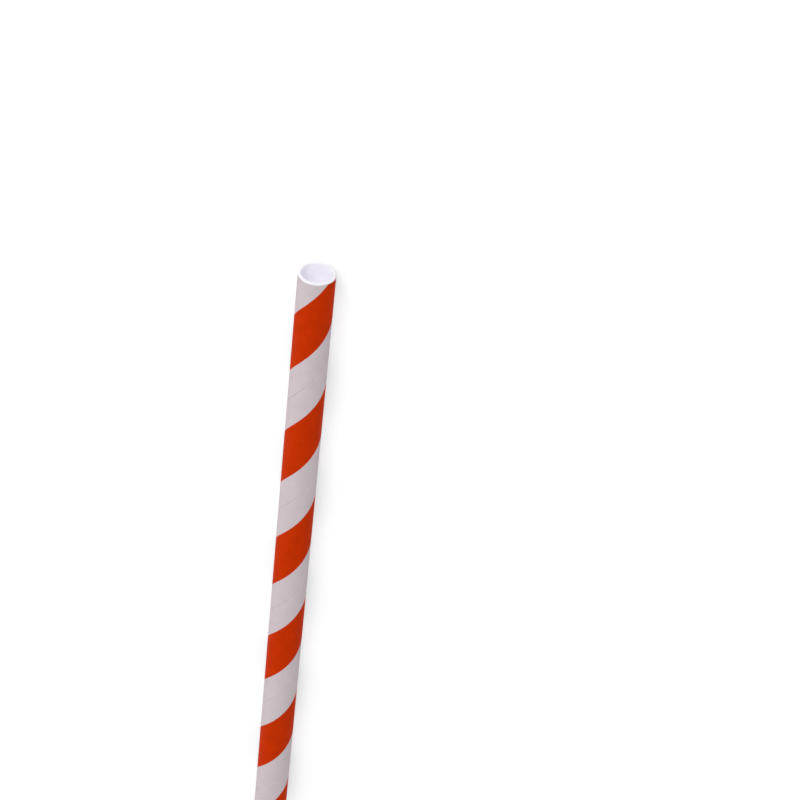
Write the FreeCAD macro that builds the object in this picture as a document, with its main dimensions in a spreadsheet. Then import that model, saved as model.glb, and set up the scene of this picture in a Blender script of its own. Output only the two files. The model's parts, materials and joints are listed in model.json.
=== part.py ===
import FreeCAD, Part

import os

import Sketcher

# A spiral-wound paper drinking straw: one open tube of glued paper plies, lying on its side.
#
# Frame: millimetres, +Z up. The straw's axis runs along X, its mouth end is at +X, and its lowest
# line rests on z = 0. The origin is on that line, halfway along the straw.
#
# The plies are glued into one wall without a gap, so the whole straw is one solid. The blade that
# cuts it to length leaves the inner and outer edges of both ends slightly rounded. Packed among
# others, the straw has been pressed flat by four hundredths of a millimetre along one line, and it
# lies on that narrow flat and doesn't roll.

# Driving dimensions: alias, value, and what it is.
SIZES = [
    ("straw_length", 197.0, "end to end"),
    ("outer_diameter", 6.0, "over the outermost ply"),
    ("paper_thickness", 0.18, "one ply with its glue"),
    ("ply_count", 3, "plies in the wall"),
    ("edge_round", 0.12, "radius of the edges at both ends, inside and outside"),
    ("lying_flat_width", 1.0, "strip that the paper is pressed flat to, where the straw lies"),
]

STRAW = "paper_straw"

OUTER_RADIUS = "Sizes.outer_diameter / 2"
INNER_RADIUS = "Sizes.outer_diameter / 2 - Sizes.paper_thickness * Sizes.ply_count"
FLAT_BELOW_AXIS = "sqrt((Sizes.outer_diameter / 2)^2 - (Sizes.lying_flat_width / 2)^2)"


def make_sheet(doc):
    """The spreadsheet of driving dimensions, one row for each."""
    sheet = doc.addObject("Spreadsheet::Sheet", "Sizes")
    for row, (alias, value, meaning) in enumerate(SIZES, start=1):
        sheet.set(f"A{row}", alias)
        sheet.set(f"B{row}", str(value))
        sheet.setAlias(f"B{row}", alias)
        sheet.set(f"C{row}", meaning)
    doc.recompute()
    return sheet


def add_circle(sketch, name, radius, radius_expression):
    """A circle about the sketch's origin, with its radius bound to the sheet."""
    centre = FreeCAD.Vector(0, 0, 0)
    axis = FreeCAD.Vector(0, 0, 1)
    circle = sketch.addGeometry(Part.Circle(centre, axis, radius))
    sketch.addConstraint(Sketcher.Constraint("Coincident", circle, 3, -1, 1))
    constraint = sketch.addConstraint(Sketcher.Constraint("Radius", circle, radius))
    sketch.renameConstraint(constraint, name)
    sketch.setExpression(f"Constraints.{name}", radius_expression)


def add_rectangle_below(sketch, width, top, bottom):
    """A rectangle centred on the sketch's vertical axis and below its horizontal one. Each size is
    its name, its first value and its expression: the width, and how far below the top and the
    bottom lie."""
    half = width[1] / 2
    corners = [
        FreeCAD.Vector(-half, -top[1], 0),
        FreeCAD.Vector(half, -top[1], 0),
        FreeCAD.Vector(half, -bottom[1], 0),
        FreeCAD.Vector(-half, -bottom[1], 0),
    ]
    sides = [
        sketch.addGeometry(Part.LineSegment(corner, corners[(i + 1) % 4]))
        for i, corner in enumerate(corners)
    ]
    for i, side in enumerate(sides):
        sketch.addConstraint(Sketcher.Constraint("Coincident", side, 2, sides[(i + 1) % 4], 1))
    upper, right, lower, left = sides
    sketch.addConstraint(Sketcher.Constraint("Symmetric", upper, 1, upper, 2, -2))
    sketch.addConstraint(Sketcher.Constraint("Horizontal", lower))
    for side in (right, left):
        sketch.addConstraint(Sketcher.Constraint("Vertical", side))
    sized = [
        (width, Sketcher.Constraint("DistanceX", upper, 1, upper, 2, width[1])),
        (top, Sketcher.Constraint("DistanceY", upper, 1, -1, 1, top[1])),
        (bottom, Sketcher.Constraint("DistanceY", lower, 1, -1, 1, bottom[1])),
    ]
    for (name, _, expression), constraint in sized:
        sketch.renameConstraint(sketch.addConstraint(constraint), name)
        sketch.setExpression(f"Constraints.{name}", expression)


def sketch_across(body, name):
    """An empty sketch square to the straw's axis, on the body's own YZ plane."""
    sketch = body.newObject("Sketcher::SketchObject", name)
    plane = next(plane for plane in body.Origin.OriginFeatures if plane.Role == "YZ_Plane")
    sketch.AttachmentSupport = [(plane, "")]
    sketch.MapMode = "FlatFace"
    return sketch


def wind_wall(doc, body, sheet):
    """The glued wall: a ring in the YZ plane, carried half the straw's length each way along X."""
    outer = sheet.outer_diameter / 2
    inner = outer - sheet.paper_thickness * sheet.ply_count
    ring = sketch_across(body, "WallRing")
    add_circle(ring, "outer_radius", outer, OUTER_RADIUS)
    add_circle(ring, "inner_radius", inner, INNER_RADIUS)

    wall = body.newObject("PartDesign::Pad", "WoundWall")
    wall.Profile = ring
    wall.Midplane = True
    wall.setExpression("Length", "Sizes.straw_length")
    doc.recompute()
    return wall


def round_ends(doc, body, wall):
    """The blade's soft edges: all four circles of the wall, two at each end."""
    end_circles = [
        f"Edge{number}"
        for number, edge in enumerate(wall.Shape.Edges, start=1)
        if isinstance(edge.Curve, Part.Circle)
    ]
    soft_edges = body.newObject("PartDesign::Fillet", "SoftEdges")
    soft_edges.Base = (wall, end_circles)
    soft_edges.setExpression("Radius", "Sizes.edge_round")
    doc.recompute()


def press_flat(doc, body, sheet):
    """The narrow flat that the straw lies on: all of the wall below a chord of its circle, as wide
    as lying_flat_width, taken off along the whole straw."""
    radius = sheet.outer_diameter / 2
    chord = sketch_across(body, "FlatSection")
    add_rectangle_below(
        chord,
        width=("cut_width", 2 * radius, "Sizes.outer_diameter"),
        top=("flat_below_axis", 0.99 * radius, FLAT_BELOW_AXIS),
        bottom=("cut_below_axis", 2 * radius, "Sizes.outer_diameter"),
    )
    flat = body.newObject("PartDesign::Pocket", "LyingFlat")
    flat.Profile = chord
    flat.Midplane = True
    flat.setExpression("Length", "Sizes.straw_length")
    doc.recompute()


def make_straw(doc, sheet):
    """The straw's body, lifted so that its flat lies on the ground plane."""
    body = doc.addObject("PartDesign::Body", STRAW)
    body.Label = STRAW
    wall = wind_wall(doc, body, sheet)
    round_ends(doc, body, wall)
    press_flat(doc, body, sheet)
    body.setExpression("Placement.Base.z", FLAT_BELOW_AXIS)
    doc.recompute()
    return body


def check(doc, body):
    """Stops if an object of the document failed, or if the straw isn't one valid solid."""
    for item in doc.Objects:
        if "Invalid" in item.State or "Error" in item.State:
            raise RuntimeError(f"{item.Name} has failed: {item.State}")
    shape = body.Shape
    if shape.isNull() or not shape.isValid() or len(shape.Solids) != 1:
        raise RuntimeError(f"{body.Label} isn't one valid solid")


def main():
    doc = FreeCAD.newDocument("PaperStraw")
    sheet = make_sheet(doc)
    body = make_straw(doc, sheet)
    check(doc, body)
    os.makedirs("parts", exist_ok=True)
    body.Shape.exportStep(f"parts/{body.Label}.step")
    print(f"{body.Label}: {body.Shape.Volume:.3f} mm3 in {len(body.Shape.Faces)} faces")


main()
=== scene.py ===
import json

import bpy
import numpy as np
from mathutils import Matrix, Vector


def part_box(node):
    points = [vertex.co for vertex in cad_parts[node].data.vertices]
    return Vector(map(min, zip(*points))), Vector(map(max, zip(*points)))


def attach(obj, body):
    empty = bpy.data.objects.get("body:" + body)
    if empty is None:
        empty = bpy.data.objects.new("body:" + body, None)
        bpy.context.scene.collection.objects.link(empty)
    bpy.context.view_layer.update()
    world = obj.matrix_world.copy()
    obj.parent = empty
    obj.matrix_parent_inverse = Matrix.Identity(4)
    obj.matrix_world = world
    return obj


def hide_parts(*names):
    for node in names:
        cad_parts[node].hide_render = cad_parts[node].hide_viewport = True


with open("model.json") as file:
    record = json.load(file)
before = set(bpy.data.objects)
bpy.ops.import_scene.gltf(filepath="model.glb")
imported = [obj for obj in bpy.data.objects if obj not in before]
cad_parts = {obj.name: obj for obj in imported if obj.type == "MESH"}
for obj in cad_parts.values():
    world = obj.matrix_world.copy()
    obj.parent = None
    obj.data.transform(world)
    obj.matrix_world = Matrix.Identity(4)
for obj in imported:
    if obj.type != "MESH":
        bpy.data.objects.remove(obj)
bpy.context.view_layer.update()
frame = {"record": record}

bl_info = {
    "name": "Paper Drinking Straw",
    "version": (1, 0, 0),
    "blender": (4, 5, 0),
    "location": "View3D > Sidebar > Straw",
    "description": "Builds a spiral-striped paper straw, lying on a pale floor under soft light",
    "category": "Add Mesh",
}

# The straw of the frame: its node, its body, and its walls as the mounts give them.
NODE = "paper_straw"
BODY = "root"
MOUNTS = {mount["name"]: mount for mount in frame["record"]["mounts"]}
OUTER_RADIUS = MOUNTS["outside"]["dims"]["r_mm"] / 1000
INNER_RADIUS = MOUNTS["bore"]["dims"]["r_mm"] / 1000
AXIS_Z = MOUNTS["outside"]["pos_m"][2]
LOW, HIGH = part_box(NODE)
FAR_X = LOW.x
MOUTH_X = HIGH.x

TURN = 2 * np.pi
SKIN, CUT_EDGE, LINING = range(3)

# Mesh rows between the seam's lips, and from the outer to the inner edge of a cut end.
SKIN_ROWS = 22
LINING_ROWS = 6
CUT_ROWS = 18

# Rows over one side of a seam, then where its floor ends and how wide its lip is, in gap widths.
SLOT_ROWS = (0.0, 0.25, 0.45, 0.6, 0.8, 1.1, 1.6, 2.4)
SLOT_FLOOR = 0.25
SLOT_LIP = 0.55

# Waves of the cut fibres: how many go round, how far they slant, and where they start, in turns.
CUT_WAVES = ((23, 1.3, 0.0), (41, -2.1, 0.3), (67, 0.7, 0.6))
CUT_WAVE_HEIGHT = 0.000012

# The printed ply. Edges and the seam's shade are in strip widths, the rest are plain factors.
STRIPE_RAGGEDNESS = 0.008
STRIPE_SOFTNESS = 0.0035
SEAM_SHADE_OUTER = 0.009
SEAM_SHADE_INNER = 0.004
SEAM_SHADE = 0.96
INK_SMOOTHING = -0.18
BOUNCED_GREY = (0.24, 0.22, 0.22, 1.0)

# Each paper's fibre scale, cloud scale and bump depth in metres.
PRINTED_GRAIN = (3400.0, 520.0, 0.000012)
LINING_GRAIN = (3800.0, 700.0, 0.000015)
CUT_GRAIN = (3800.0, 700.0, 0.00003)

# The part of the noise that is spread over a factor's range, and those ranges, low and high.
NOISE_SPAN = (0.3, 0.7)
CLOUD_SHADES = (0.97, 1.03)
FIBRE_SHADES = (0.965, 1.035)
INK_SHADES = (0.93, 1.06)
INK_THINNING = (-0.03, 0.008)
PRINTED_ROUGHNESS = (0.72, 0.84)
LINING_ROUGHNESS = (0.74, 0.86)
CUT_ROUGHNESS = (0.79, 0.91)
PAPER_SPECULAR = 0.02


# Sizes and colours that a user would change

class StrawSettings(bpy.types.PropertyGroup):
    """Sizes and colours of the wound straw."""

    strip_lead: bpy.props.FloatProperty(
        name="Strip Lead", description="Advance of the paper strip along the straw in one turn",
        default=0.02364, min=0.005, unit="LENGTH", subtype="DISTANCE", precision=5)
    seam_angle: bpy.props.FloatProperty(
        name="Seam Angle", description="Where the outer seam meets the mouth, from +Y towards +Z",
        default=np.radians(36.2), subtype="ANGLE", unit="ROTATION")
    stripe_share: bpy.props.FloatProperty(
        name="Stripe Share", description="Share of the strip's width that is printed",
        default=0.4725, min=0.0, max=1.0, subtype="FACTOR")
    seam_gap: bpy.props.FloatProperty(
        name="Seam Gap", description="Open width of a butt seam, square to the strip's edge",
        default=0.00012, min=0.0, unit="LENGTH", subtype="DISTANCE", precision=6)
    seam_depth: bpy.props.FloatProperty(
        name="Seam Depth", description="Depth of a butt seam above the glue in it",
        default=0.00006, min=0.0, unit="LENGTH", subtype="DISTANCE", precision=6)
    outer_round: bpy.props.FloatProperty(
        name="Outer Round", description="Radius of the outer edge that the blade leaves at an end",
        default=0.00024, min=0.00001, unit="LENGTH", subtype="DISTANCE", precision=6)
    inner_round: bpy.props.FloatProperty(
        name="Inner Round", description="Radius of the inner edge that the blade leaves at an end",
        default=0.00012, min=0.00001, unit="LENGTH", subtype="DISTANCE", precision=6)
    columns: bpy.props.IntProperty(
        name="Columns", description="Mesh columns around the straw", default=144, min=24)
    paper_colour: bpy.props.FloatVectorProperty(
        name="Paper", description="Colour of the unprinted outer ply",
        default=(0.725, 0.632, 0.66), size=3, min=0.0, max=1.0, subtype="COLOR")
    ink_colour: bpy.props.FloatVectorProperty(
        name="Ink", description="Colour of the printed stripe",
        default=(0.64, 0.036, 0.0006), size=3, min=0.0, max=1.0, subtype="COLOR")
    lining_colour: bpy.props.FloatVectorProperty(
        name="Lining", description="Colour of the innermost ply",
        default=(0.88, 0.86, 0.92), size=3, min=0.0, max=1.0, subtype="COLOR")
    edge_colour: bpy.props.FloatVectorProperty(
        name="Cut Edge", description="Colour of the cut ends of the plies",
        default=(0.86, 0.84, 0.89), size=3, min=0.0, max=1.0, subtype="COLOR")
    # Painted light: a glow on the lining, in its own colour, standing in for light that comes
    # through the thin wall.
    painted_lining_glow: bpy.props.FloatProperty(
        name="Light Through", description="Light that comes through the thin wall to the lining",
        default=0.10, min=0.0)


class StageSettings(bpy.types.PropertyGroup):
    """Camera, floor and light. Places are measured from the middle of the straw's mouth."""

    camera_ahead: bpy.props.FloatProperty(
        name="Camera Ahead", description="How far beyond the mouth the camera is, along the straw",
        default=0.19365, unit="LENGTH", subtype="DISTANCE")
    camera_height: bpy.props.FloatProperty(
        name="Camera Height", description="How far above the straw's axis the camera is",
        default=0.27013, unit="LENGTH", subtype="DISTANCE")
    aim_back: bpy.props.FloatProperty(
        name="Aim Back", description="How far behind the mouth the camera aims, along the straw",
        default=0.02353, unit="LENGTH", subtype="DISTANCE")
    aim_side: bpy.props.FloatProperty(
        name="Aim Side", description="How far beside the axis the camera aims, towards -Y",
        default=0.01508, unit="LENGTH", subtype="DISTANCE")
    camera_roll: bpy.props.FloatProperty(
        name="Camera Roll", description="Turn of the picture that puts the mouth at its top",
        default=np.radians(178.03), subtype="ANGLE", unit="ROTATION")
    focal_length: bpy.props.FloatProperty(
        name="Focal Length", description="Lens in millimetres, on a sensor 36 mm wide",
        default=96.96, min=10.0, unit="CAMERA")
    floor_colour: bpy.props.FloatVectorProperty(
        name="Floor", description="Colour of the floor",
        default=(0.86, 0.86, 0.87), size=3, min=0.0, max=1.0, subtype="COLOR")
    floor_size: bpy.props.FloatProperty(
        name="Floor Size", description="Side of the square floor",
        default=6.0, unit="LENGTH", subtype="DISTANCE")
    floor_glow: bpy.props.FloatProperty(
        name="Floor Glow", description="Light that the camera sees on top of the floor's own",
        default=0.42, min=0.0)
    sky_strength: bpy.props.FloatProperty(
        name="Sky", description="Strength of the even light from all round",
        default=0.40, min=0.0)
    front_place: bpy.props.FloatVectorProperty(
        name="Front Lamp", description="Place of the lamp beyond the mouth",
        default=(1.825, 0.4, 1.16), size=3, unit="LENGTH", subtype="TRANSLATION")
    front_light: bpy.props.FloatProperty(
        name="Front Light", description="Power of the lamp beyond the mouth",
        default=31.5, min=0.0, unit="POWER")
    side_place: bpy.props.FloatVectorProperty(
        name="Side Lamp", description="Place of the lamp on the straw's +Y side",
        default=(0.0, 1.94, 0.5), size=3, unit="LENGTH", subtype="TRANSLATION")
    side_light: bpy.props.FloatProperty(
        name="Side Light", description="Power of the lamp on the straw's +Y side",
        default=7.5, min=0.0, unit="POWER")
    fill_place: bpy.props.FloatVectorProperty(
        name="Fill Lamp", description="Place of the weak lamp on the straw's -Y side",
        default=(0.0, -1.8, 0.8), size=3, unit="LENGTH", subtype="TRANSLATION")
    fill_light: bpy.props.FloatProperty(
        name="Fill Light", description="Power of the weak lamp on the straw's -Y side",
        default=3.3, min=0.0, unit="POWER")
    lamp_size: bpy.props.FloatProperty(
        name="Lamp Size", description="Side of each square lamp",
        default=1.3, min=0.01, unit="LENGTH", subtype="DISTANCE")


# Surfaces of the straw, worked out as arrays

def across_strip(x, turn, lead, seam_turn):
    """Place across the wound strip, in strip widths, counted on from turn to turn.

    It grows by 1 for each lead towards the mouth and falls by 1 for each turn from +Y towards +Z,
    and it is a whole number on the seam, which meets the mouth at seam_turn."""
    return (x - MOUTH_X) / lead + seam_turn - turn


def along_straw(across, turn, lead, seam_turn):
    """The X of a place across the strip: across_strip turned round."""
    return MOUTH_X + lead * (across - seam_turn + turn)


def strip_width(lead, radius):
    """Width of the strip square to its edge: the lead times the circumference, over the length of
    the slanting line that joins them."""
    circumference = TURN * radius
    return lead * circumference / np.hypot(lead, circumference)


def rows_in_one_turn(lead, radius, gap, between):
    """Places across one strip width, from 0: close together over the seam's slot and its lips,
    which are laid out in gap widths, and even from there on."""
    slot = np.array(SLOT_ROWS) * gap / strip_width(lead, radius)
    even = np.linspace(slot[-1], 1 - slot[-1], between + 2)[1:-1]
    return np.concatenate([slot, even, 1 - slot[:0:-1]])


def seam_profile(across, lead, radius, gap, depth):
    """Depth of the seam's slot at a place across the strip: full in the middle half of the gap,
    then rising smoothly to nothing 0.8 of a gap away from the seam's middle."""
    away = np.abs(across - np.round(across)) * strip_width(lead, radius) / gap
    rise = np.clip((away - SLOT_FLOOR) / SLOT_LIP, 0, 1)
    return depth * (1 - rise * rise * (3 - 2 * rise))


def wound_grid(lead, seam_turn, columns, row_places, low_x, high_x):
    """One wound face of the wall, as rows along the strip and columns around the straw.

    Row i holds one place across the strip and column j one angle. A row climbs one lead in one
    turn, so the last column of a row is the first column of the row one strip width further on.
    Rows that would pass an end are held at that end. Gives x, turn and the place across the strip,
    by row and column, and then the place that each row had before it was held."""
    turn = np.arange(columns + 1) / columns
    first = np.floor(across_strip(low_x, 1.0, lead, seam_turn)) - 1
    last = np.ceil(across_strip(high_x, 0.0, lead, seam_turn)) + 1
    widths = np.arange(first, last)
    across = (widths[:, None] + row_places[None, :]).ravel()
    x = along_straw(across[:, None], turn[None, :], lead, seam_turn)
    x = np.clip(x, low_x, high_x)
    turn = np.broadcast_to(turn, x.shape)
    held_across = across_strip(x, turn, lead, seam_turn)
    return x, turn, held_across, across


class WallMesh:
    """Collects the points, triangles, strip coordinates and materials of the straw's wall."""

    def __init__(self):
        self.points, self.triangles, self.strip, self.material = [], [], [], []
        self.count = 0

    def add_points(self, x, turn, radius):
        """Points at a place along the straw, a turn from +Y towards +Z and a radius. What would
        be below the floor is pressed flat onto it."""
        angle = turn * TURN
        y = radius * np.cos(angle)
        z = np.maximum(AXIS_Z + radius * np.sin(angle), 0.0)
        self.points.append(np.stack([x, y, z], axis=-1).reshape(-1, 3))
        numbers = self.count + np.arange(x.size).reshape(x.shape)
        self.count += x.size
        return numbers

    def add_quads(self, corners, strip, material, flip=False):
        """Quads as two triangles each. corners is (n, 4) point numbers and strip (n, 4, 2).
        A triangle that has a point twice, as at a held row, is left out."""
        if flip:
            corners, strip = corners[:, ::-1], strip[:, ::-1]
        for pick in ([0, 1, 2], [0, 2, 3]):
            tri, uv = corners[:, pick], strip[:, pick]
            real = (tri[:, 0] != tri[:, 1]) & (tri[:, 1] != tri[:, 2]) & (tri[:, 2] != tri[:, 0])
            self.triangles.append(tri[real])
            self.strip.append(uv[real])
            self.material.append(np.full(real.sum(), material))

    def to_object(self, name):
        """The finished mesh object, smooth, with its strip coordinates as a UV map."""
        points = np.concatenate(self.points)
        triangles = np.concatenate(self.triangles)
        used, triangles = np.unique(triangles, return_inverse=True)
        points, triangles = points[used], triangles.reshape(-1, 3)
        mesh = bpy.data.meshes.new(name)
        mesh.vertices.add(len(points))
        mesh.vertices.foreach_set("co", points.astype(np.float32).ravel())
        mesh.loops.add(triangles.size)
        mesh.loops.foreach_set("vertex_index", triangles.astype(np.int32).ravel())
        mesh.polygons.add(len(triangles))
        mesh.polygons.foreach_set("loop_start", np.arange(0, triangles.size, 3, dtype=np.int32))
        mesh.polygons.foreach_set("material_index", np.concatenate(self.material).astype(np.int32))
        mesh.polygons.foreach_set("use_smooth", np.ones(len(triangles), bool))
        layer = mesh.uv_layers.new(name="strip")
        layer.uv.foreach_set("vector", np.concatenate(self.strip).astype(np.float32).ravel())
        mesh.update()
        if mesh.validate():
            raise RuntimeError(f"{name} had faults in its mesh")
        obj = bpy.data.objects.new(name, mesh)
        bpy.context.scene.collection.objects.link(obj)
        return obj


def add_wound_face(wall, settings, radius, seam_turn, between, outward, material, edge_round):
    """The outer or the inner face of the wall, with its seam, as far as the rounded edges of both
    ends. Gives the point numbers and then the radii of its two end circles, far end first."""
    low_x, high_x = FAR_X + edge_round, MOUTH_X - edge_round
    lead, gap, depth = settings.strip_lead, settings.seam_gap, settings.seam_depth
    columns = settings.columns
    places = rows_in_one_turn(lead, radius, gap, between)
    x, turn, held, across = wound_grid(lead, seam_turn, columns, places, low_x, high_x)
    sunk = seam_profile(held, lead, radius, gap, depth)
    level = radius - sunk if outward else radius + sunk
    numbers = wall.add_points(x, turn, level)

    # A held row is one circle of points at each end, and the last column is the first column of
    # the row one strip width on.
    rows, per_width = len(across), len(places)
    at_far, at_mouth = x <= low_x, x >= high_x
    far_circle = numbers[0].copy()
    mouth_circle = numbers[-1].copy()
    far_circle[-1], mouth_circle[-1] = far_circle[0], mouth_circle[0]
    joined = numbers.copy()
    next_width = np.minimum(np.arange(rows) + per_width, rows - 1)
    joined[:, -1] = numbers[next_width, 0]
    joined = np.where(at_far, far_circle[None, :], joined)
    joined = np.where(at_mouth, mouth_circle[None, :], joined)

    corners = np.stack(
        [joined[:-1, :-1], joined[1:, :-1], joined[1:, 1:], joined[:-1, 1:]], axis=-1)
    width_number = np.floor((across[:-1] + across[1:]) / 2)[:, None]
    strip = np.stack([
        np.stack([held[a, b] - width_number, turn[a, b] + width_number], axis=-1)
        for a, b in (
            (slice(None, -1), slice(None, -1)), (slice(1, None), slice(None, -1)),
            (slice(1, None), slice(1, None)), (slice(None, -1), slice(1, None)),
        )
    ], axis=-2)
    wall.add_quads(corners.reshape(-1, 4), strip.reshape(-1, 4, 2), material, flip=outward)
    return far_circle[:-1], mouth_circle[:-1], level[0, :-1], level[-1, :-1]


def add_cut_end(wall, settings, outer, inner, tip_x, inward):
    """A cut end between its outer and inner circles, each given as point numbers and radii.

    The radius goes evenly from the outer circle to the inner one, closer together at both. X lies
    on the flat cut at tip_x, and drops off it along a quarter circle at each edge. Fine waves
    roughen the flat, as cut fibres do, and fade out at both edges."""
    (outer_numbers, outer_level), (inner_numbers, inner_level) = outer, inner
    turn = np.arange(len(outer_numbers)) / len(outer_numbers)
    share = (1 - np.cos(np.linspace(0, np.pi, CUT_ROWS + 1)[1:-1, None])) / 2
    radius = outer_level + (inner_level - outer_level) * share
    drop = np.zeros_like(radius)
    edges = (
        (outer_level - radius, settings.outer_round), (radius - inner_level, settings.inner_round))
    for from_edge, edge_round in edges:
        within = np.clip(1 - from_edge / edge_round, 0, 1)
        drop += edge_round * (1 - np.sqrt(1 - within * within))
    waves = sum(
        np.sin(TURN * (count * turn + slant * share + start)) for count, slant, start in CUT_WAVES
    ) / len(CUT_WAVES)
    drop += CUT_WAVE_HEIGHT * (1 + waves) * np.sin(np.pi * share)
    numbers = wall.add_points(tip_x + inward * drop, np.broadcast_to(turn, radius.shape), radius)
    stack = np.concatenate([outer_numbers[None], numbers, inner_numbers[None]])
    wrapped = np.concatenate([stack, stack[:, :1]], axis=1)
    corners = np.stack(
        [wrapped[:-1, :-1], wrapped[1:, :-1], wrapped[1:, 1:], wrapped[:-1, 1:]], axis=-1)
    shares = np.concatenate([[0], share[:, 0], [1]])
    turns = np.arange(len(outer_numbers) + 1) / len(outer_numbers)
    uv = np.stack(np.broadcast_arrays(shares[:, None], turns[None, :]), axis=-1)
    strip = np.stack([uv[:-1, :-1], uv[1:, :-1], uv[1:, 1:], uv[:-1, 1:]], axis=-2)
    wall.add_quads(
        corners.reshape(-1, 4), strip.reshape(-1, 4, 2), CUT_EDGE, flip=inward < 0)


def straw_wall(settings):
    """The whole closed wall: outer face, inner face and both cut ends, as one object."""
    wall = WallMesh()
    seam_turn = settings.seam_angle / TURN
    outer = add_wound_face(
        wall, settings, OUTER_RADIUS, seam_turn, SKIN_ROWS, True, SKIN, settings.outer_round)
    inner = add_wound_face(
        wall, settings, INNER_RADIUS, seam_turn + 0.5, LINING_ROWS, False, LINING,
        settings.inner_round)
    for end, tip_x, inward in ((0, FAR_X, 1), (1, MOUTH_X, -1)):
        add_cut_end(
            wall, settings, (outer[end], outer[2 + end]), (inner[end], inner[2 + end]),
            tip_x, inward)
    return wall.to_object("wound_paper_straw")


# Materials

def add_node(tree, kind, place, **values):
    """A shader node with its plain attributes set."""
    node = tree.nodes.new(kind)
    node.location = place
    for name, value in values.items():
        setattr(node, name, value)
    return node


def fibre_group():
    """Paper fibres at a place given in metres: a fine felt of fibres, a softer cloudiness, and a
    height for the bump, which is the fibres plus a share of the cloudiness."""
    tree = bpy.data.node_groups.new("PaperFibres", "ShaderNodeTree")
    face = tree.interface
    face.new_socket("Vector", in_out="INPUT", socket_type="NodeSocketVector")
    for name, value in (("Fibre Scale", 2600.0), ("Cloud Scale", 420.0), ("Cloud Share", 0.35)):
        socket = face.new_socket(name, in_out="INPUT", socket_type="NodeSocketFloat")
        socket.default_value = value
    for name in ("Fibres", "Cloud", "Height"):
        face.new_socket(name, in_out="OUTPUT", socket_type="NodeSocketFloat")
    enter = add_node(tree, "NodeGroupInput", (-900, 0))
    leave = add_node(tree, "NodeGroupOutput", (500, 0))
    link = tree.links.new

    fibres = add_node(tree, "ShaderNodeTexNoise", (-300, 200))
    fibres.inputs["Detail"].default_value = 5.0
    fibres.inputs["Roughness"].default_value = 0.62
    link(enter.outputs["Vector"], fibres.inputs["Vector"])
    link(enter.outputs["Fibre Scale"], fibres.inputs["Scale"])
    cloud = add_node(tree, "ShaderNodeTexNoise", (-300, -150))
    cloud.inputs["Detail"].default_value = 3.0
    link(enter.outputs["Vector"], cloud.inputs["Vector"])
    link(enter.outputs["Cloud Scale"], cloud.inputs["Scale"])
    height = add_node(tree, "ShaderNodeMath", (100, 0), operation="MULTIPLY_ADD")
    link(cloud.outputs["Fac"], height.inputs[0])
    link(enter.outputs["Cloud Share"], height.inputs[1])
    link(fibres.outputs["Fac"], height.inputs[2])
    link(fibres.outputs["Fac"], leave.inputs["Fibres"])
    link(cloud.outputs["Fac"], leave.inputs["Cloud"])
    link(height.outputs["Value"], leave.inputs["Height"])
    return tree


def paper_base(name, group, grain):
    """A matte paper material with the fibre group and its bump in place. Gives the material, its
    tree, the fibre node and the shader."""
    fibre_scale, cloud_scale, bump_depth = grain
    material = bpy.data.materials.new(name)
    material.use_nodes = True
    tree = material.node_tree
    shader = tree.nodes["Principled BSDF"]
    shader.inputs["Specular IOR Level"].default_value = PAPER_SPECULAR
    place = add_node(tree, "ShaderNodeTexCoord", (-1300, 0))
    fibre = add_node(tree, "ShaderNodeGroup", (-1000, 0), node_tree=group)
    fibre.inputs["Fibre Scale"].default_value = fibre_scale
    fibre.inputs["Cloud Scale"].default_value = cloud_scale
    tree.links.new(place.outputs["Object"], fibre.inputs["Vector"])
    bump = add_node(tree, "ShaderNodeBump", (-250, -300))
    bump.inputs["Strength"].default_value = 1.0
    bump.inputs["Distance"].default_value = bump_depth
    tree.links.new(fibre.outputs["Height"], bump.inputs["Height"])
    tree.links.new(bump.outputs["Normal"], shader.inputs["Normal"])
    return material, tree, fibre, shader


def shade_by(tree, value, span, place):
    """Maps the middle of a noise evenly onto a factor between the span's low and high."""
    node = add_node(tree, "ShaderNodeMapRange", place)
    names = ("From Min", "From Max", "To Min", "To Max")
    for name, number in zip(names, NOISE_SPAN + span):
        node.inputs[name].default_value = number
    tree.links.new(value, node.inputs["Value"])
    return node.outputs["Result"]


def tint(tree, colour, factor, place):
    """A colour, plain or linked, times a factor that varies over the surface."""
    node = add_node(tree, "ShaderNodeVectorMath", place, operation="SCALE")
    if isinstance(colour, bpy.types.NodeSocket):
        tree.links.new(colour, node.inputs[0])
    else:
        node.inputs[0].default_value = colour
    tree.links.new(factor, node.inputs["Scale"])
    return node.outputs["Vector"]


def plain_paper(name, group, colour, roughness, grain):
    """Unprinted paper, a little cloudy and flecked with fibres."""
    material, tree, fibre, shader = paper_base(name, group, grain)
    rough = shade_by(tree, fibre.outputs["Fibres"], roughness, (-250, -100))
    tree.links.new(rough, shader.inputs["Roughness"])
    cloudy = shade_by(tree, fibre.outputs["Cloud"], CLOUD_SHADES, (-700, 150))
    flecked = shade_by(tree, fibre.outputs["Fibres"], FIBRE_SHADES, (-700, -100))
    shaded = tint(tree, tuple(colour), cloudy, (-450, 150))
    shaded = tint(tree, shaded, flecked, (-250, 100))
    tree.links.new(shaded, shader.inputs["Base Color"])
    return material


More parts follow.
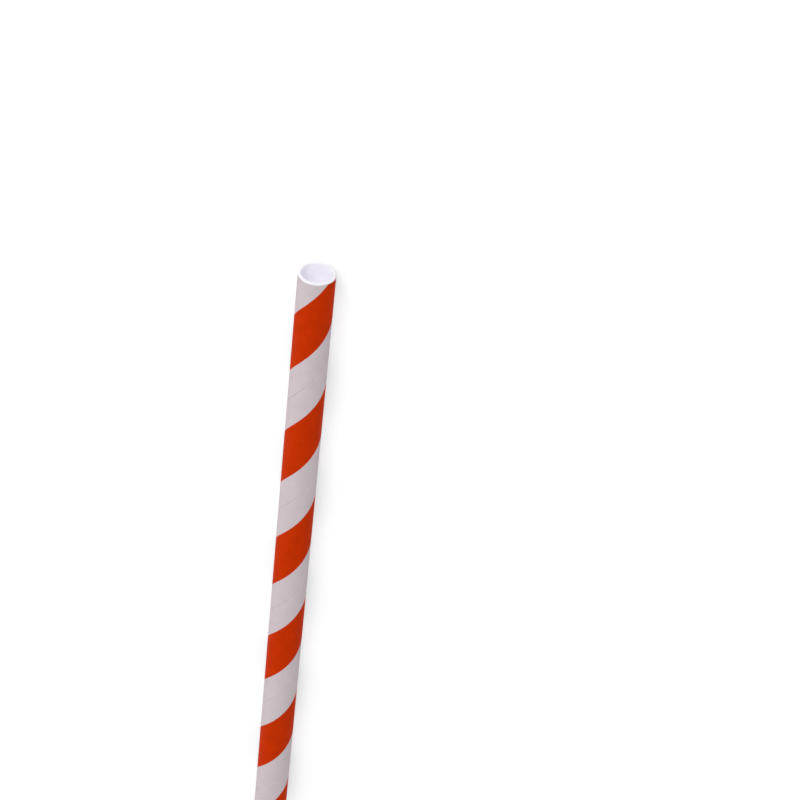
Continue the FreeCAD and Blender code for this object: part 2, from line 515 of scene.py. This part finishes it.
def printed_paper(settings, group):
    """The outermost ply: white paper with one printed stripe down the middle of the strip.

    The stripe is where the place across the strip is nearer to the middle than half the stripe's
    share. Fibres push its edge in and out a little, and thin the ink in flecks. The seam, which is
    half a strip away from the middle, is a little darker than the paper. What the ink bounces onto
    the floor is kept grey, so that the shadow there has no red rim."""
    material, tree, fibre, shader = paper_base("printed_paper", group, PRINTED_GRAIN)
    link = tree.links.new

    strip = add_node(tree, "ShaderNodeUVMap", (-1300, 500), uv_map="strip")
    split = add_node(tree, "ShaderNodeSeparateXYZ", (-1100, 500))
    link(strip.outputs["UV"], split.inputs["Vector"])
    from_middle = add_node(tree, "ShaderNodeMath", (-900, 500), operation="SUBTRACT")
    from_middle.inputs[1].default_value = 0.5
    link(split.outputs["X"], from_middle.inputs[0])
    away = add_node(tree, "ShaderNodeMath", (-720, 500), operation="ABSOLUTE")
    link(from_middle.outputs["Value"], away.inputs[0])
    ragged = add_node(tree, "ShaderNodeMath", (-540, 500), operation="MULTIPLY_ADD")
    ragged.inputs[1].default_value = STRIPE_RAGGEDNESS
    link(fibre.outputs["Fibres"], ragged.inputs[0])
    link(away.outputs["Value"], ragged.inputs[2])
    inked = add_node(tree, "ShaderNodeMapRange", (-360, 500), interpolation_type="SMOOTHSTEP")
    half_share = (settings.stripe_share + STRIPE_RAGGEDNESS) / 2
    inked.inputs["From Min"].default_value = half_share + STRIPE_SOFTNESS
    inked.inputs["From Max"].default_value = half_share - STRIPE_SOFTNESS
    link(ragged.outputs["Value"], inked.inputs["Value"])

    seam = add_node(tree, "ShaderNodeMapRange", (-540, 300), interpolation_type="SMOOTHSTEP")
    seam.inputs["From Min"].default_value = 0.5 - SEAM_SHADE_OUTER
    seam.inputs["From Max"].default_value = 0.5 - SEAM_SHADE_INNER
    seam.inputs["To Min"].default_value = 1.0
    seam.inputs["To Max"].default_value = SEAM_SHADE
    link(away.outputs["Value"], seam.inputs["Value"])
    paper = tint(
        tree, tuple(settings.paper_colour),
        shade_by(tree, fibre.outputs["Cloud"], CLOUD_SHADES, (-900, 150)), (-650, 150))
    paper = tint(tree, paper, seam.outputs["Result"], (-350, 150))
    ink = tint(
        tree, tuple(settings.ink_colour),
        shade_by(tree, fibre.outputs["Cloud"], INK_SHADES, (-700, -50)), (-450, -50))
    thin_ink = shade_by(tree, fibre.outputs["Fibres"], INK_THINNING, (-700, -250))
    cover = add_node(tree, "ShaderNodeMath", (-180, 500), operation="SUBTRACT", use_clamp=True)
    link(inked.outputs["Result"], cover.inputs[0])
    worn = add_node(tree, "ShaderNodeMath", (-360, 300), operation="MAXIMUM")
    worn.inputs[1].default_value = 0.0
    link(thin_ink, worn.inputs[0])
    link(worn.outputs["Value"], cover.inputs[1])
    mix = add_node(tree, "ShaderNodeMix", (0, 250), data_type="RGBA")
    link(cover.outputs["Value"], mix.inputs["Factor"])
    link(paper, mix.inputs["A"])
    link(ink, mix.inputs["B"])

    smoother = add_node(tree, "ShaderNodeMath", (0, -100), operation="MULTIPLY_ADD")
    smoother.inputs[1].default_value = INK_SMOOTHING
    link(cover.outputs["Value"], smoother.inputs[0])
    unprinted = shade_by(tree, fibre.outputs["Fibres"], PRINTED_ROUGHNESS, (-250, -100))
    link(unprinted, smoother.inputs[2])
    link(smoother.outputs["Value"], shader.inputs["Roughness"])

    bounced = add_node(tree, "ShaderNodeMix", (200, 400), data_type="RGBA")
    bounced.inputs["B"].default_value = BOUNCED_GREY
    path = add_node(tree, "ShaderNodeLightPath", (-180, 900))
    onto_floor = add_node(tree, "ShaderNodeMath", (0, 600), operation="MULTIPLY")
    link(path.outputs["Is Diffuse Ray"], onto_floor.inputs[0])
    link(cover.outputs["Value"], onto_floor.inputs[1])
    link(onto_floor.outputs["Value"], bounced.inputs["Factor"])
    link(mix.outputs["Result"], bounced.inputs["A"])
    link(bounced.outputs["Result"], shader.inputs["Base Color"])
    return material


# Stage

def seen_directly(tree):
    """1 where a camera, glossy or transmission ray looks, and 0 for the light on the object: the
    largest of those three masks."""
    path = add_node(tree, "ShaderNodeLightPath", (-900, -150))
    seen = add_node(tree, "ShaderNodeMath", (-650, -150), operation="MAXIMUM")
    tree.links.new(path.outputs["Is Camera Ray"], seen.inputs[0])
    tree.links.new(path.outputs["Is Glossy Ray"], seen.inputs[1])
    seen_through = add_node(tree, "ShaderNodeMath", (-450, -150), operation="MAXIMUM")
    tree.links.new(seen.outputs["Value"], seen_through.inputs[0])
    tree.links.new(path.outputs["Is Transmission Ray"], seen_through.inputs[1])
    return seen_through.outputs["Value"]


def pale_floor_material(settings):
    """A pale matte floor that the camera sees as white, with the straw's shadow kept: what the
    floor reflects, plus a plain glow that only camera, glossy and transmission rays see."""
    material = bpy.data.materials.new("pale_floor")
    material.use_nodes = True
    tree = material.node_tree
    shader = tree.nodes["Principled BSDF"]
    shader.inputs["Base Color"].default_value = (*settings.floor_colour, 1.0)
    shader.inputs["Roughness"].default_value = 0.9
    shader.inputs["Specular IOR Level"].default_value = 0.1
    glow = add_node(tree, "ShaderNodeMath", (-250, -150), operation="MULTIPLY")
    glow.inputs[1].default_value = settings.floor_glow
    tree.links.new(seen_directly(tree), glow.inputs[0])
    shader.inputs["Emission Color"].default_value = (1.0, 1.0, 1.0, 1.0)
    tree.links.new(glow.outputs["Value"], shader.inputs["Emission Strength"])
    return material


def add_floor(settings):
    """The square floor under the straw."""
    half = settings.floor_size / 2
    mesh = bpy.data.meshes.new("floor")
    corners = [(-half, -half, 0.0), (half, -half, 0.0), (half, half, 0.0), (-half, half, 0.0)]
    mesh.from_pydata(corners, [], [(0, 1, 2, 3)])
    mesh.materials.append(pale_floor_material(settings))
    floor = bpy.data.objects.new("floor", mesh)
    bpy.context.scene.collection.objects.link(floor)


def facing(position, target, up):
    """The matrix of a camera or lamp at position that looks at target, with up at its top."""
    back = (position - target).normalized()
    right = up.cross(back).normalized()
    top = back.cross(right)
    turned = Matrix((right, top, back)).transposed().to_4x4()
    return Matrix.Translation(position) @ turned


def add_lamp(name, place, size, power):
    """A square soft lamp, placed from the middle of the straw's mouth and aimed at it."""
    mouth = Vector((MOUTH_X, 0.0, AXIS_Z))
    light = bpy.data.lights.new(name, "AREA")
    light.shape = "SQUARE"
    light.size = size
    light.energy = power
    lamp = bpy.data.objects.new(name, light)
    lamp.matrix_world = facing(mouth + Vector(place), mouth, Vector((0.0, 0.0, 1.0)))
    bpy.context.scene.collection.objects.link(lamp)


def add_sky(settings):
    """Even light from all round. The camera sees it as white."""
    world = bpy.data.worlds.new("sky")
    bpy.context.scene.world = world
    world.use_nodes = True
    tree = world.node_tree
    background = tree.nodes["Background"]
    background.inputs["Color"].default_value = (1.0, 1.0, 1.0, 1.0)
    strength = add_node(tree, "ShaderNodeMapRange", (-250, 0))
    strength.inputs["To Min"].default_value = settings.sky_strength
    strength.inputs["To Max"].default_value = 1.0
    tree.links.new(seen_directly(tree), strength.inputs["Value"])
    tree.links.new(strength.outputs["Result"], background.inputs["Strength"])


def add_camera(settings):
    """The camera above and beyond the mouth, rolled so that the mouth is at the picture's top."""
    mouth = Vector((MOUTH_X, 0.0, AXIS_Z))
    position = mouth + Vector((settings.camera_ahead, 0.0, settings.camera_height))
    target = mouth + Vector((-settings.aim_back, -settings.aim_side, 0.0))
    level = facing(position, target, Vector((0.0, 0.0, 1.0)))
    data = bpy.data.cameras.new("camera")
    data.sensor_width = 36.0
    data.lens = settings.focal_length
    data.clip_start = 0.01
    camera = bpy.data.objects.new("camera", data)
    camera.matrix_world = level @ Matrix.Rotation(-settings.camera_roll, 4, "Z")
    bpy.context.scene.collection.objects.link(camera)
    bpy.context.scene.camera = camera


# Operators and panel

class STRAW_OT_build_straw(bpy.types.Operator):
    """Builds the wound and printed straw in place of its plain tube"""

    bl_idname = "straw.build_straw"
    bl_label = "Build Straw"

    def execute(self, context):
        settings = context.scene.straw_settings
        group = fibre_group()
        straw = straw_wall(settings)
        lining = plain_paper(
            "lining_paper", group, settings.lining_colour, LINING_ROUGHNESS, LINING_GRAIN)
        # Painted light: the lining glows a little in its own colour, in place of light that comes
        # through the thin wall.
        glow = lining.node_tree.nodes["Principled BSDF"]
        glow.inputs["Emission Color"].default_value = (*settings.lining_colour, 1.0)
        glow.inputs["Emission Strength"].default_value = settings.painted_lining_glow
        materials = {
            SKIN: printed_paper(settings, group),
            CUT_EDGE: plain_paper(
                "cut_paper", group, settings.edge_colour, CUT_ROUGHNESS, CUT_GRAIN),
            LINING: lining,
        }
        for number in sorted(materials):
            straw.data.materials.append(materials[number])
        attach(straw, BODY)
        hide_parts(NODE)
        return {"FINISHED"}


class STRAW_OT_build_stage(bpy.types.Operator):
    """Builds the pale floor, the soft light and the camera"""

    bl_idname = "straw.build_stage"
    bl_label = "Build Stage"

    def execute(self, context):
        settings = context.scene.straw_stage
        context.scene.view_settings.view_transform = "Standard"
        add_floor(settings)
        add_sky(settings)
        add_lamp("front_lamp", settings.front_place, settings.lamp_size, settings.front_light)
        add_lamp("side_lamp", settings.side_place, settings.lamp_size, settings.side_light)
        add_lamp("fill_lamp", settings.fill_place, settings.lamp_size, settings.fill_light)
        add_camera(settings)
        return {"FINISHED"}


class STRAW_PT_sidebar(bpy.types.Panel):
    """Lists the operators and their sizes in the 3D view's sidebar"""

    bl_idname = "STRAW_PT_sidebar"
    bl_label = "Paper Straw"
    bl_space_type = "VIEW_3D"
    bl_region_type = "UI"
    bl_category = "Straw"

    def draw(self, context):
        for settings, operator in (
            (context.scene.straw_settings, STRAW_OT_build_straw),
            (context.scene.straw_stage, STRAW_OT_build_stage),
        ):
            box = self.layout.box()
            for name in settings.bl_rna.properties.keys():
                if name not in ("rna_type", "name"):
                    box.prop(settings, name)
            box.operator(operator.bl_idname)


CLASSES = (
    StrawSettings, StageSettings, STRAW_OT_build_straw, STRAW_OT_build_stage, STRAW_PT_sidebar)


def register():
    for cls in CLASSES:
        bpy.utils.register_class(cls)
    bpy.types.Scene.straw_settings = bpy.props.PointerProperty(type=StrawSettings)
    bpy.types.Scene.straw_stage = bpy.props.PointerProperty(type=StageSettings)


def unregister():
    del bpy.types.Scene.straw_stage
    del bpy.types.Scene.straw_settings
    for cls in reversed(CLASSES):
        bpy.utils.unregister_class(cls)


def main():
    """Builds the straw and its stage."""
    register()
    bpy.ops.straw.build_straw()
    bpy.ops.straw.build_stage()


if __name__ == "__main__":
    main()
